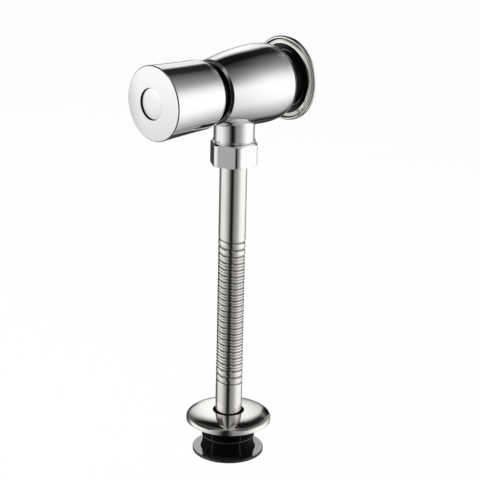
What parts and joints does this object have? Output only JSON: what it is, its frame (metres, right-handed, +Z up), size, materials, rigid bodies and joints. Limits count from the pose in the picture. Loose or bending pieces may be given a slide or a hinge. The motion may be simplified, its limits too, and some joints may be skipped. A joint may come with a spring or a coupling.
{
  "type": "urinal flush valve",
  "caption": "Wall-mounted self-closing urinal flush valve with a push button, a union nut and a bendable flush tube that ends in a rubber grommet under a dome.",
  "frame": {"origin": "on the inlet axis, in the plane of the wall", "axes": "+Y points into the wall along the inlet, the button faces -Y, +Z is up and the flush tube hangs down"},
  "size_m": [0.048, 0.1116, 0.2352],
  "materials": {
    "chrome_body": "polished chrome plate on brass",
    "chrome_button": "polished chrome plate",
    "chrome_inlay": "satin chrome plate",
    "chrome_nut": "polished chrome plate",
    "chrome_tube": "chrome plate on thin rolled tube",
    "polished_steel": "polished stainless sheet",
    "brass": "turned",
    "stainless": "drawn",
    "black_rubber": "moulded, glossy",
    "seal_rubber": "moulded",
    "red_fibre": "pressed fibre",
    "white_plastic": "moulded"
  },
  "bodies": {
    "valve": {"valve_body": "chrome_body", "inlet_nipple": "brass", "nipple_washer": "red_fibre", "inlet_strainer": "white_plastic", "valve_seat": "brass", "bonnet": "chrome_body", "bonnet_o_ring": "seal_rubber", "gland_packing": "seal_rubber", "gland_nut": "brass", "button_spring": "stainless", "closing_spring": "stainless", "outlet_washer": "seal_rubber", "flush_tube": "chrome_tube", "spud_grommet": "black_rubber"},
    "button": {"button_cap": "chrome_button", "button_inlay": "chrome_inlay", "button_screw": "stainless", "push_rod": "stainless", "piston": "brass", "cup_seal": "seal_rubber", "piston_nut": "brass", "clack": "brass", "clack_washer": "seal_rubber", "clack_nut": "brass"},
    "flange": {"wall_flange": "polished_steel"},
    "slip_ring": {"slip_ring": "white_plastic"},
    "union_nut": {"union_nut": "chrome_nut"},
    "escutcheon": {"spud_escutcheon": "polished_steel"}
  },
  "joints": [
    {"name": "button_press", "type": "slide", "parent": "valve", "child": "button", "axis": [0, 1, 0], "range_m": [0, 0.0035], "stiffness_N_per_m": 700, "springref_m": -0.012, "deforming": ["button_spring", "closing_spring"]},
    {"name": "flange_slide", "type": "slide", "parent": "valve", "child": "flange", "axis": [0, -1, 0], "range_m": [0, 0.007]},
    {"name": "slip_ring_drop", "type": "slide", "parent": "valve", "child": "slip_ring", "axis": [0, 0, -1], "range_m": [0, 0.0055]},
    {"name": "nut_turn", "type": "hinge", "parent": "slip_ring", "child": "union_nut", "pos_m": [0, -0.0383, 0], "axis": [0, 0, -1], "range_deg": [0, 1080]},
    {"name": "escutcheon_slide", "type": "slide", "parent": "valve", "child": "escutcheon", "axis": [0, 0, 1], "range_m": [0, 0.139]}
  ],
  "couplings": [
    {"joint": "slip_ring_drop", "follows": "nut_turn", "m_per_rad": 0.00028871}
  ]
}
